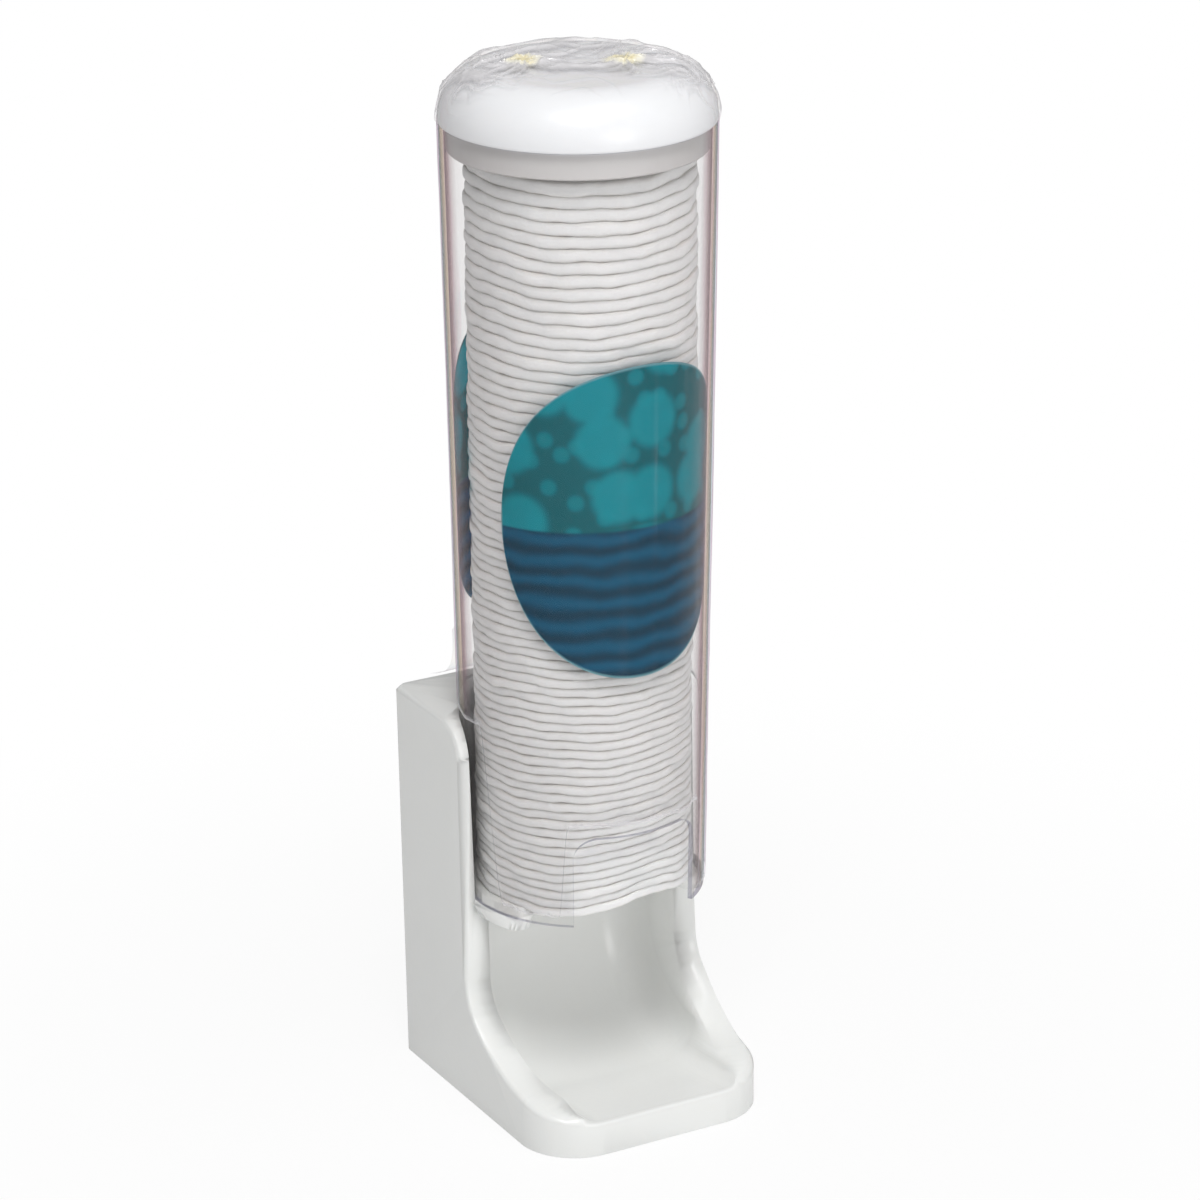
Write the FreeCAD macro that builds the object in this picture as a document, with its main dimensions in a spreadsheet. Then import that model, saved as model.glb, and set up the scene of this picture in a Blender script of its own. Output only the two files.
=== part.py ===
# Cotton pad dispenser: a white moulded holder with an open scoop tray, a clear tapered tube
# that stands on the holder's shelf, a push-fit domed lid, and a stack of round cotton pads
# that are drawn one at a time through the finger notch at the tube's foot.
#
# Frame: millimetres, +Z up, z = 0 on the surface that the holder stands on, front towards -Y.
# The origin is the middle of the holder's footprint. The tube's axis stands a little behind
# it, and every piece is modelled about that axis and then placed on it.
import FreeCAD, Part
import Sketcher
import math
import os

Vector = FreeCAD.Vector
doc = FreeCAD.newDocument("cotton_pad_dispenser")

# ---------------------------------------------------------------- driving dimensions
SIZES = [
    ("pad_radius", 28.5, "radius of one cotton pad"),
    ("pad_pressed", 2.32, "thickness of the lowest pad, under the weight of the stack"),
    ("pad_loose", 3.26, "thickness of the topmost pad"),
    ("pad_gap", 0.05, "air between two pads"),
    ("pad_count", 73, "pads in the stack"),
    ("tube_wall", 1.3, "wall of the clear tube"),
    ("tube_play", 1.37, "room round the lowest pad in the tube"),
    ("tube_draft", 0.0163, "growth of the tube's radius per millimetre of height"),
    ("headroom", 5.1, "room between a full stack and the lid's plug"),
    ("notch_width", 35.0, "finger notch, side to side"),
    ("notch_height", 24.5, "finger notch, above the tube's foot"),
    ("notch_corner", 6.0, "rounding of the notch's upper corners"),
    ("lid_overhang", 0.2, "how far the lid's edge stands out past the tube"),
    ("lid_wall", 1.5, "wall of the lid's dome"),
    ("lid_flank", 0.8, "upright edge of the lid below the shoulder"),
    ("lid_shoulder", 12.0, "width of the lid's rounded shoulder"),
    ("lid_rise", 12.6, "height of the lid's rounded shoulder"),
    ("plug_depth", 7.0, "length of the lid's plug inside the tube"),
    ("plug_gap", 0.25, "running gap between plug and tube"),
    ("plug_wall", 1.2, "wall of the plug"),
    ("holder_height", 105.5, "top of the holder"),
    ("seat_height", 57.5, "shelf that carries the tube's foot"),
    ("seat_gap", 0.3, "gap between the tube and the holder's back"),
    ("side_wall", 1.4, "holder's wall beside the tube, at the top"),
    ("back_web", 7.65, "holder behind the tube, at the top"),
    ("front_reach", 42.0, "tube's axis to the tray's front"),
    ("holder_wall", 2.0, "moulded wall of the holder"),
    ("front_corner", 16.0, "tray's front corners, in plan"),
    ("back_corner", 3.0, "holder's rear corners, in plan"),
    ("top_corner", 9.5, "rounding at the top of each wing"),
    ("wing_setback", 2.5, "wing's front edge behind the tube's axis, at the shelf"),
    ("edge_break", 1.4, "broken outer edges of the holder"),
    ("lip_height", 9.7, "tray's front edge"),
    ("tray_run", 16.0, "straight part of the tray's rim, from the front"),
    ("tray_slope", 12.0, "slope of that part, in degrees"),
    ("knee_angle", 45.0, "slope where the two curves of the rim meet, in degrees"),
    ("tray_curve", 46.0, "radius of the rim's long curve"),
    ("neck_curve", 14.0, "radius of the rim's short curve"),
    ("throat_step", 0.8, "scoop's back behind the throat's"),
    ("scoop_bend", 33.0, "radius of the bend from the scoop's back to its floor"),
    ("scoop_floor", 5.0, "height of the scoop's floor"),
    ("scoop_rim", 5.9, "rim beside the scoop"),
    ("scoop_corner", 10.0, "rounding between the scoop's sides and its floor"),
    ("scoop_climb", 8.0, "slope of the scoop's floor up to the front, in degrees"),
    ("shelf_thickness", 3.5, "shelf under the tube"),
    ("shelf_reach", 7.0, "width of the shelf's two arms"),
    ("shelf_opening", 136.0, "open front of the shelf, in degrees"),
    ("pad_rise", 2.0, "inner step of the shelf that carries the pads"),
    ("step_gap", 0.27, "gap between that step and the tube"),
    ("step_inset", 0.6, "step's inner edge behind the shelf's"),
    ("label_angle", 67.8, "label, from its middle to its side, in degrees"),
    ("label_height", 82.4, "height of a label"),
    ("label_middle", 108.5, "label's middle above the tube's foot"),
    ("label_film", 0.12, "thickness of a label"),
    ("film_gap", 0.03, "air between a label and the tube's bore"),
]

sheet = doc.addObject("Spreadsheet::Sheet", "Sizes")
for row, (alias, number, meaning) in enumerate(SIZES, start=1):
    sheet.set("A%d" % row, alias)
    sheet.set("B%d" % row, str(number))
    sheet.setAlias("B%d" % row, alias)
    sheet.set("C%d" % row, meaning)
doc.recompute()


class Size:
    """A size with its number and the spreadsheet formula that it comes from."""

    def __init__(self, value, text):
        self.value = value
        self.text = text

    @staticmethod
    def of(thing):
        return thing if isinstance(thing, Size) else Size(float(thing), repr(float(thing)))

    def joined(self, other, sign, value):
        return Size(value, "(%s %s %s)" % (self.text, sign, Size.of(other).text))

    def __add__(self, other):
        return self.joined(other, "+", self.value + Size.of(other).value)

    def __sub__(self, other):
        return self.joined(other, "-", self.value - Size.of(other).value)

    def __mul__(self, other):
        return self.joined(other, "*", self.value * Size.of(other).value)

    def __truediv__(self, other):
        return self.joined(other, "/", self.value / Size.of(other).value)

    def __neg__(self):
        return Size(-self.value, "(0 - %s)" % self.text)


def cell(alias):
    return Size(float(sheet.get(alias)), "Sizes." + alias)


def sine(angle):
    return Size(math.sin(math.radians(angle.value)), "sin(%s * 1 deg)" % angle.text)


def cosine(angle):
    return Size(math.cos(math.radians(angle.value)), "cos(%s * 1 deg)" % angle.text)


def bind(thing, **sizes):
    """Bind properties to sizes; a double underscore stands for the dot of a sub-property."""
    for name, size in sizes.items():
        thing.setExpression(name.replace("__", "."), Size.of(size).text)


# ---------------------------------------------------------------- sizes that follow
zero = Size.of(0.0)
quarter_turn = Size.of(90.0)
full_turn = Size.of(360.0)
overcut = Size.of(1.0)

tube_foot = cell("seat_height")
pad_seat = tube_foot + cell("pad_rise")
last_pad = cell("pad_count") - 1.0
pad_growth = (cell("pad_loose") - cell("pad_pressed")) / (last_pad * last_pad * last_pad)


def pads_up_to(below):
    """Height of so many pads: an even share for each, and a sum of cubes for their growth."""
    pairs = below * (below - 1.0) / 2.0
    return (cell("pad_pressed") + cell("pad_gap")) * below + pad_growth * pairs * pairs


stack_top = pad_seat + pads_up_to(cell("pad_count"))
plug_foot = stack_top + cell("headroom")
tube_top = plug_foot + cell("plug_depth")
tube_length = tube_top - tube_foot

foot_bore = cell("pad_radius") + cell("tube_play")
foot_radius = foot_bore + cell("tube_wall")
top_radius = foot_radius + cell("tube_draft") * tube_length
top_bore = top_radius - cell("tube_wall")

seat_foot = foot_radius + cell("seat_gap")
seat_rise = cell("holder_height") - tube_foot
seat_top = seat_foot + cell("tube_draft") * seat_rise
half_width = seat_top + cell("side_wall")
back_reach = seat_top + cell("back_web")
axis_y = (cell("front_reach") - back_reach) / 2.0

shelf_foot = tube_foot - cell("shelf_thickness")
lid_radius = top_radius + cell("lid_overhang")
wall = cell("holder_wall")

# the scoop's bend: its axis runs across the holder, in front of the back and over the floor.
# The U section starts a little behind the axis, so that turning it never meets the axis.
throat_radius = foot_radius - cell("shelf_reach")
bend_y = throat_radius + cell("throat_step") - cell("scoop_bend")
bend_z = cell("scoop_floor") + cell("scoop_bend")
run_turn = quarter_turn + cell("scoop_climb")
scoop_chord = cell("scoop_bend") / 6.0


# ---------------------------------------------------------------- helpers
FIT = 1e-3
FILM_SIDES = 48
PLANES = {
    "XY": FreeCAD.Rotation(),
    "XZ": FreeCAD.Rotation(Vector(1, 0, 0), 90),
    "YZ": FreeCAD.Rotation(Vector(1, 1, 1), 120),
}


def outline(name, plane, corners):
    """Closed sketch through corners (u, v) with an arc of a given radius where one follows.

    Each corner is (u, v) or (u, v, radius, turn): the side that ends there is then an arc of
    that radius, with its centre on the left (turn +1) or right (turn -1) of the way along it.
    """
    sketch = doc.addObject("Sketcher::SketchObject", name)
    sketch.Placement = FreeCAD.Placement(Vector(), PLANES[plane])
    points = [(Size.of(corner[0]), Size.of(corner[1])) for corner in corners]
    for index, corner in enumerate(corners):
        start = Vector(points[index - 1][0].value, points[index - 1][1].value, 0)
        end = Vector(points[index][0].value, points[index][1].value, 0)
        if len(corner) == 2:
            sketch.addGeometry(Part.LineSegment(start, end))
            continue
        radius, turn = Size.of(corner[2]), corner[3]
        chord = end - start
        left = Vector(-chord.y, chord.x, 0).normalize()
        rise = math.sqrt(max(radius.value ** 2 - chord.Length ** 2 / 4.0, 0.0))
        centre = (start + end) / 2.0 + left * (turn * rise)
        bulge = centre - left * (turn * radius.value)
        sketch.addGeometry(Part.Arc(start, bulge, end))
    count = len(corners)
    ends = []
    for index, corner in enumerate(corners):
        start = Vector(points[index - 1][0].value, points[index - 1][1].value, 0)
        first = sketch.getPoint(index, 1).distanceToPoint(start) < 1e-6
        ends.append((1, 2) if first else (2, 1))
    for index in range(count):
        after = (index + 1) % count
        sketch.addConstraint(
            Sketcher.Constraint("Coincident", index, ends[index][1], after, ends[after][0]))
    for index, (u, v) in enumerate(points):
        for kind, size in (("DistanceX", u), ("DistanceY", v)):
            number = sketch.addConstraint(
                Sketcher.Constraint(kind, index, ends[index][1], size.value))
            sketch.setExpression("Constraints[%d]" % number, size.text)
    for index, corner in enumerate(corners):
        if len(corner) > 2:
            radius = Size.of(corner[2])
            number = sketch.addConstraint(Sketcher.Constraint("Radius", index, radius.value))
            sketch.setExpression("Constraints[%d]" % number, radius.text)
    return sketch


def extrusion(name, sketch, direction, forward, backward=zero):
    solid = doc.addObject("Part::Extrusion", name)
    solid.Base = sketch
    solid.DirMode = "Custom"
    solid.Dir = direction
    solid.Solid = True
    bind(solid, LengthFwd=forward, LengthRev=backward)
    return solid


def revolution(name, sketch, angle=full_turn):
    solid = doc.addObject("Part::Revolution", name)
    solid.Source = sketch
    solid.Axis = Vector(0, 0, 1)
    solid.Solid = True
    bind(solid, Angle=angle)
    return solid


def cone(name, foot, lower, upper, height):
    solid = doc.addObject("Part::Cone", name)
    bind(solid, Radius1=lower, Radius2=upper, Height=height, Placement__Base__z=foot)
    return solid


def flat_sided_cone(name, foot, lower, upper, height):
    """Many-sided tapered prism inside the cone of these sizes; it keeps a thin film light."""
    rims = []
    for end, level, radius in (("foot", foot, lower), ("top", foot + height, upper)):
        rim = doc.addObject("Part::RegularPolygon", name + "_" + end)
        rim.Polygon = FILM_SIDES
        bind(rim, Circumradius=radius, Placement__Base__z=level)
        rims.append(rim)
    solid = doc.addObject("Part::Loft", name)
    solid.Sections = rims
    solid.Solid = True
    solid.Ruled = True
    return solid


def cylinder(name, x, y, z, radius, height):
    solid = doc.addObject("Part::Cylinder", name)
    bind(solid, Radius=radius, Height=height)
    bind(solid, Placement__Base__x=x, Placement__Base__y=y, Placement__Base__z=z)
    return solid


def cut(name, base, tool):
    solid = doc.addObject("Part::Cut", name)
    solid.Base = base
    solid.Tool = tool
    return solid


def common(name, first, second):
    solid = doc.addObject("Part::Common", name)
    solid.Base = first
    solid.Tool = second
    return solid


def fuse(name, *pieces):
    solid = doc.addObject("Part::MultiFuse", name)
    solid.Shapes = list(pieces)
    return solid


nodes = []


def node(label, solid):
    """Name a finished sub-part and stand it on the tube's axis."""
    solid.Label = label
    bind(solid, Placement__Base__y=axis_y)
    nodes.append(solid)
    return solid


# ---------------------------------------------------------------- holder: outer form
def side_outline(name, inset, foot):
    """Side of the holder, drawn in from its outer faces by inset, down to foot.

    From the tray's front edge the rim climbs in a straight slope, then in two tangent arcs,
    and becomes the wing's front edge, which is rounded into the flat top.
    """
    slope, knee = cell("tray_slope"), cell("knee_angle")
    incline = sine(slope) / cosine(slope)
    front = inset - cell("front_reach")
    back = back_reach - inset
    top = cell("holder_height") - inset
    corner_foot = cell("holder_height") - cell("top_corner")
    long_curve = cell("tray_curve") + inset
    short_curve = cell("neck_curve") + inset
    run_y = cell("tray_run") - cell("front_reach") + inset * sine(slope)
    run_z = cell("lip_height") + cell("tray_run") * incline - inset * cosine(slope)
    lip_z = run_z - (run_y - front) * incline
    knee_y = run_y + long_curve * (sine(knee) - sine(slope))
    knee_z = run_z + long_curve * (cosine(slope) - cosine(knee))
    neck_y = knee_y + short_curve * (Size.of(1.0) - sine(knee))
    neck_z = knee_z + short_curve * cosine(knee)
    wing_y = cell("wing_setback") + inset
    return outline(name, "YZ", [
        (front, foot),
        (front, lip_z),
        (run_y, run_z),
        (knee_y, knee_z, long_curve, +1),
        (neck_y, neck_z, short_curve, +1),
        (wing_y, corner_foot),
        (cell("wing_setback") + cell("top_corner"), top, cell("top_corner") - inset, -1),
        (back, top),
        (back, foot),
    ])


def plan_outline(name, inset):
    """Holder seen from above: a rectangle with its four corners rounded."""
    right = half_width - inset
    left = -right
    front = inset - cell("front_reach")
    back = back_reach - inset
    front_round = cell("front_corner") - inset
    back_round = cell("back_corner") - inset
    return outline(name, "XY", [
        (left + front_round, front, front_round, +1),
        (right - front_round, front),
        (right, front + front_round, front_round, +1),
        (right, back - back_round),
        (right - back_round, back, back_round, +1),
        (left + back_round, back),
        (left, back - back_round, back_round, +1),
        (left, front + front_round),
    ])


def holder_block(name, inset, foot):
    """The holder's outer form drawn in by inset: its side seen across, cut by its plan."""
    across = half_width - inset
    side = extrusion(name + "_side", side_outline(name + "_side_sketch", inset, foot),
                     Vector(1, 0, 0), across, across)
    plan = extrusion(name + "_plan", plan_outline(name + "_plan_sketch", inset),
                     Vector(0, 0, 1), cell("holder_height"), overcut)
    return common(name, side, plan)


# ---------------------------------------------------------------- holder: seat and scoop
def seat_bore(name, foot):
    """Tapered bore that the tube stands in, from foot to past the holder's top."""
    height = cell("holder_height") + overcut - foot
    return cone(name, foot, seat_foot, seat_foot + cell("tube_draft") * height, height)


def scoop_section(name, growth, rounding, turned):
    """U-shaped section of the scoop, turned about the bend's axis from back to floor."""
    half_span = half_width - cell("scoop_rim") + growth
    back = cell("scoop_bend") + growth
    corners = [(-half_span, scoop_chord), (half_span, scoop_chord)]
    if rounding.value > 0.0:
        corners += [(half_span, back - rounding),
                    (half_span - rounding, back, rounding, +1),
                    (-half_span + rounding, back),
                    (-half_span, back - rounding, rounding, +1)]
    else:
        corners += [(half_span, back), (-half_span, back)]
    section = outline(name, "XY", corners)
    section.Placement.Rotation = FreeCAD.Rotation(Vector(-1, 0, 0), turned.value)
    bind(section, Placement__Base__y=bend_y, Placement__Base__z=bend_z)
    bind(section, Placement__Rotation__Angle=turned)
    return section


def scoop(name, growth, rounding):
    """Throat, bend and tray as one space: a U section that runs down the holder's back,

    turns about an axis across the holder until the back has become the floor, and then
    climbs gently to the front edge. Where it gets shallow, its rounded corners draw the
    tray's outline in.
    """
    upright = scoop_section(name + "_upright", growth, rounding, zero)
    throat = extrusion(name + "_throat", upright, Vector(0, 0, 1),
                       shelf_foot - bend_z)
    bend = doc.addObject("Part::Revolution", name + "_bend")
    bend.Source = upright
    bend.Axis = Vector(-1, 0, 0)
    bend.Solid = True
    bind(bend, Base__y=bend_y, Base__z=bend_z, Angle=run_turn)
    forward = scoop_section(name + "_forward", growth, rounding, run_turn)
    run = doc.addObject("Part::Extrusion", name + "_run")
    run.Base = forward
    run.DirMode = "Normal"
    run.Reversed = True
    run.Solid = True
    bind(run, LengthFwd=cell("front_reach") + throat_radius)
    return fuse(name, throat, bend, run)


def shelf_parts():
    """Open ring under the tube's foot, with a raised step inside the tube for the pads.

    Both end in a rounded tip on each side of the open front.
    """
    ledge_inner = throat_radius
    step_outer = foot_bore - cell("step_gap")
    step_inner = throat_radius + cell("step_inset")
    profile = outline("shelf_sketch", "XZ", [
        (ledge_inner, shelf_foot),
        (foot_radius, shelf_foot),
        (foot_radius, tube_foot),
        (step_outer, tube_foot),
        (step_outer, pad_seat),
        (step_inner, pad_seat),
        (step_inner, tube_foot),
        (ledge_inner, tube_foot),
    ])
    opening = cell("shelf_opening")
    ring = revolution("shelf_ring", profile, full_turn - opening)
    bind(ring, Placement__Rotation__Angle=opening / 2.0 - 90.0)
    parts = [ring]
    for side, sign in (("left", -1.0), ("right", 1.0)):
        across, forward = sine(opening / 2.0) * sign, -cosine(opening / 2.0)
        for name, inner, outer, foot, top in (
                ("shelf_tip_", ledge_inner, foot_radius, shelf_foot, tube_foot),
                ("step_tip_", step_inner, step_outer, tube_foot - overcut, pad_seat)):
            middle = (outer + inner) / 2.0
            parts.append(cylinder(name + side, middle * across, middle * forward, foot,
                                  (outer - inner) / 2.0, top - foot))
    return parts


def edges_where(shape, test):
    """Numbers of the edges whose sampled points all pass a test."""
    found = []
    for number, edge in enumerate(shape.Edges, start=1):
        first, last = edge.ParameterRange
        samples = [edge.valueAt(first + (last - first) * share) for share in (0.1, 0.5, 0.9)]
        if all(test(point) for point in samples):
            found.append(number)
    return found


def broken_edges(block):
    """The block with its rim, wing fronts and top edges broken; its back stays sharp."""
    doc.recompute()
    side = half_width.value - FIT
    corner_start = (cell("front_corner") - cell("front_reach")).value
    lip = cell("lip_height").value
    back = (back_reach - cell("back_corner")).value + FIT

    def outer_edge(point):
        outside = abs(point.x) > side or point.y < corner_start
        return outside and point.z > lip - FIT and point.y < back

    broken = doc.addObject("Part::Chamfer", "holder_edges_broken")
    broken.Base = block
    width = cell("edge_break").value
    broken.Edges = [(number, width, width) for number in edges_where(block.Shape, outer_edge)]
    return broken


def build_holder():
    """One moulding: block, hollow from below, scoop in front, seat for the tube behind."""
    block = holder_block("holder_block", zero, zero)
    core = holder_block("holder_core", wall, -overcut)
    seat_skin = cylinder("seat_skin", zero, zero, shelf_foot, seat_top + wall,
                         cell("holder_height") - shelf_foot)
    skins = fuse("holder_skins", scoop("scoop_skin", wall, zero), seat_skin)
    shell = cut("holder_shell", broken_edges(block), cut("holder_hollow", core, skins))
    throat = cylinder("throat_space", zero, zero, shelf_foot - overcut, throat_radius,
                      cell("shelf_thickness") + overcut * 2.0)
    spaces = fuse("holder_spaces", scoop("scoop_space", zero, cell("scoop_corner")), throat,
                  seat_bore("seat_space", tube_foot))
    return fuse("holder_body", cut("holder_opened", shell, spaces), *shelf_parts())


# ---------------------------------------------------------------- tube and its films
def tube_shell(name, foot, top, inside, outside, ring):
    """Tapered sleeve between two distances from the tube's outer face, made by ring()."""
    radius = foot_radius + cell("tube_draft") * (foot - tube_foot)
    height = top - foot
    rise = cell("tube_draft") * height
    end = cell("tube_draft") * overcut
    outer = ring(name + "_outside", foot, radius + outside, radius + rise + outside, height)
    inner = ring(name + "_inside", foot - overcut, radius + inside - end,
                 radius + rise + inside + end, height + overcut * 2.0)
    return cut(name, outer, inner)


def build_tube():
    """Clear tapered tube with the finger notch cut into the front of its foot."""
    half = cell("notch_width") / 2.0
    top = tube_foot + cell("notch_height")
    corner = cell("notch_corner")
    notch = extrusion("notch", outline("notch_sketch", "XZ", [
        (-half, tube_foot - overcut),
        (half, tube_foot - overcut),
        (half, top - corner),
        (half - corner, top, corner, +1),
        (-half + corner, top),
        (-half, top - corner, corner, +1),
    ]), Vector(0, -1, 0), foot_radius + overcut)
    shell = tube_shell("tube_shell", tube_foot, tube_top, -cell("tube_wall"), zero, cone)
    return cut("tube_body", shell, notch)


def build_label(name, facing):
    """Oval film inside the tube, on the side that facing names (-1 front, +1 back).

    A cylinder across the tube cuts the oval out of a thin sleeve: its radius and place follow
    from the label's height and from how far round the tube the label reaches.
    """
    half_angle = cell("label_angle")
    half_height = cell("label_height") / 2.0
    middle = tube_foot + cell("label_middle")
    outside = -(cell("tube_wall") + cell("film_gap"))
    radius = foot_radius + outside + cell("tube_draft") * cell("label_middle")
    sagitta = radius * (Size.of(1.0) - cosine(half_angle))
    curve = (half_height * half_height + sagitta * sagitta) / (sagitta * 2.0)
    sleeve = tube_shell(name + "_sleeve", middle - half_height - overcut,
                        middle + half_height + overcut, outside - cell("label_film"),
                        outside, flat_sided_cone)
    cutter = cylinder(name + "_cutter", -top_radius,
                      (radius * cosine(half_angle) + curve) * facing, middle,
                      curve, top_radius * 2.0)
    cutter.Placement.Rotation = FreeCAD.Rotation(Vector(0, 1, 0), 90)
    return common(name, sleeve, cutter)


# ---------------------------------------------------------------- lid
DOME_BANDS = 5


def dome_corners(foot):
    """Corners of the lid's shoulder from its flank to its flat top, on a quarter ellipse."""
    corners = []
    for step in range(DOME_BANDS + 1):
        angle = quarter_turn * (step / DOME_BANDS)
        corners.append((lid_radius - cell("lid_shoulder") * (Size.of(1.0) - cosine(angle)),
                        foot + cell("lid_rise") * sine(angle)))
    return corners


def build_lid():
    """Domed cap with a straight plug that pushes into the tube's mouth."""
    plug_radius = top_bore - cell("tube_draft") * cell("plug_depth") - cell("plug_gap")
    plug_bore = plug_radius - cell("plug_wall")
    flank = tube_top + cell("lid_flank")
    top = flank + cell("lid_rise")
    ceiling = top - cell("lid_wall")
    profile = outline("lid_sketch", "XZ", [
        (zero, ceiling),
        (lid_radius - cell("lid_shoulder"), ceiling),
        (plug_bore, flank + cell("lid_rise") / 2.0 - cell("lid_wall")),
        (plug_bore, plug_foot),
        (plug_radius, plug_foot),
        (plug_radius, tube_top),
        (lid_radius, tube_top),
        *dome_corners(flank),
        (zero, top),
    ])
    return revolution("lid_body", profile)


# ---------------------------------------------------------------- cotton pads
PAD_SIDES = 12
PADS_PER_GROUP = 4


def build_pad(number):
    """One pad, counted from the bottom of the stack; a soft disc with few faces.

    The stack presses its lower pads flat. They get thicker towards the top, with the cube of
    the number of pads below them.
    """
    below = float(number - 1)
    pad = doc.addObject("Part::Prism", "pad_disc_%02d" % number)
    pad.Polygon = PAD_SIDES
    bind(pad, Circumradius=cell("pad_radius"),
         Height=cell("pad_pressed") + pad_growth * below ** 3,
         Placement__Base__z=pad_seat + pads_up_to(Size.of(below)))
    return pad


def build_pads():
    node("bottom_pad", build_pad(1))
    count = int(cell("pad_count").value)
    for first in range(2, count + 1, PADS_PER_GROUP):
        last = min(first + PADS_PER_GROUP - 1, count)
        group = doc.addObject("Part::Compound", "pad_group_%02d" % first)
        group.Links = [build_pad(number) for number in range(first, last + 1)]
        node("pads_%02d_to_%02d" % (first, last), group)


# ---------------------------------------------------------------- the whole part
node("holder", build_holder())
node("tube", build_tube())
node("lid", build_lid())
node("front_label", build_label("front_oval", -1.0))
node("back_label", build_label("back_oval", +1.0))
build_pads()
doc.recompute()

for thing in doc.Objects:
    if "Invalid" in thing.State or "Error" in thing.State:
        raise RuntimeError("%s failed: %s" % (thing.Name, thing.State))
os.makedirs("parts", exist_ok=True)
for solid in nodes:
    shape = solid.Shape
    if shape.isNull() or not shape.isValid() or not shape.Solids:
        raise RuntimeError("%s has no valid solid" % solid.Label)
for solid in nodes:
    solid.Shape.exportStep("parts/%s.step" % solid.Label)
print("%d sub-parts written" % len(nodes))
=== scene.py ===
"""Looks of a cotton pad dispenser: a white moulded foot with a scoop, a clear tube full
of cotton pads, a white push-in lid, two printed film labels and the shrink film round
it all.

Lengths inside the shape functions are millimetres measured from the tube's own axis,
with x to the right, y to the back and z up. Angles go round that axis from its front,
towards the right.
"""

import bmesh
import bpy
import numpy as np
from bpy.props import FloatProperty, FloatVectorProperty, PointerProperty
from mathutils import Matrix, Vector


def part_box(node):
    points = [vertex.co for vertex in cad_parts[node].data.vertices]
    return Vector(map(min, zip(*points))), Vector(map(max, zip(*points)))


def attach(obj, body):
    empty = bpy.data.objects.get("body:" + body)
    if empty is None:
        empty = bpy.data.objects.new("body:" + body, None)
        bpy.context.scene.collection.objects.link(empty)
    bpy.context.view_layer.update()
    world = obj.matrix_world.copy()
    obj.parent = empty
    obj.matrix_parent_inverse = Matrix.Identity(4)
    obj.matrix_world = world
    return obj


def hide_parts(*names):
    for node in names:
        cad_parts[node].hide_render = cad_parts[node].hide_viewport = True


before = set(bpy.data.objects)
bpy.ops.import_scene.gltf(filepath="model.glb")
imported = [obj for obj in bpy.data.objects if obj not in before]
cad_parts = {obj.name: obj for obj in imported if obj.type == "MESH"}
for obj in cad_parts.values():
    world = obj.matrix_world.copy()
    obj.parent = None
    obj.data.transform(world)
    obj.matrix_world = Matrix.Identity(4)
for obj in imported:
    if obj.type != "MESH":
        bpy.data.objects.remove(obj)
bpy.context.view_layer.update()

bl_info = {
    "name": "Cotton pad dispenser",
    "version": (1, 0, 0),
    "blender": (4, 5, 0),
    "location": "3D View > Sidebar > Dispenser",
    "description": "Builds the pieces of a cotton pad dispenser round its solids",
    "category": "Object",
}

MM = 0.001
TURN = 2 * np.pi
TUBE_LOW, TUBE_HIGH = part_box("tube")
LID_LOW, LID_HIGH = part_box("lid")
HOLDER_LOW, HOLDER_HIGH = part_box("holder")
AXIS_Y = (TUBE_LOW.y + TUBE_HIGH.y) / 2
PAD_NODES = sorted(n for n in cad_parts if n.startswith("pads_"))

# Air between a label and the bore, and the label's own thickness.
LABEL_GAP, LABEL_FILM = 0.03, 0.12
# Height in metres of the level line between a label's two inks, and its soft band.
WATERLINE, WATERLINE_BAND = 0.1643, 0.0008
# How far the loosest pads are raised, and the heights between which that sets in.
LOFT, LOFT_FROM, LOFT_TO = 3.8, 170, 252
# More pads than the tube can hold, so that each has its own row of random numbers.
MOST_PADS = 200
# The sheet of film behind the foot: its lower edge, and where it meets the tube.
WEB_LEFT, WEB_RIGHT = (-24.0, 39.6, 105.7), (10.0, 39.6, 105.7)
WEB_RADIUS, WEB_TOP, WEB_FALL, WEB_SAG = 33.4, 127.0, 9.0, 3.2
# Where the sealing bar left a melted lump, as x, y, z and reach.
MELTED = ((-11.8, 6.2, 275.8, 5.6), (10.4, -4.6, 275.8, 6.2))
# Each painted reflection streak in the sleeve: angle from the front and width in
# degrees, and strength.
REFLECTION_STREAKS = (
    (-84.0, 3.0, 0.24),
    (-12.0, 5.0, 0.17),
    (3.0, 2.0, 0.20),
    (20.0, 4.0, 0.19),
    (31.0, 2.2, 0.24),
    (38.0, 1.8, 0.27),
    (47.0, 3.0, 0.22),
)
# Each lamp: where it stands in metres, and its share of the main lamp's power.
LAMPS = (
    ("Key", (-0.43, -0.76, 1.60), 1.0),
    ("Front", (0.12, -1.40, 0.50), 0.28),
    ("High", (0.30, -0.50, 1.72), 0.25),
)
LAMP_SIDE = 0.60
LAMP_AIM = Vector((0.0, 0.0, 0.12))


# ---------------------------------------- colour and nodes


def srgb(code):
    """Linear red, green and blue of an sRGB hex colour such as #F2F1EE."""
    values = np.array([int(code[i : i + 2], 16) for i in (1, 3, 5)]) / 255
    curve = ((values + 0.055) / 1.055) ** 2.4
    return tuple(float(v) for v in np.where(values <= 0.04045, values / 12.92, curve))


def opaque(colour):
    """A linear colour or a hex code with full alpha, as a colour socket takes it."""
    colour = srgb(colour) if isinstance(colour, str) else tuple(colour)
    return (*colour[:3], 1.0)


def dimmed(colour, share):
    """A share of a colour's light."""
    return tuple(share * c for c in colour)


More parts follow.
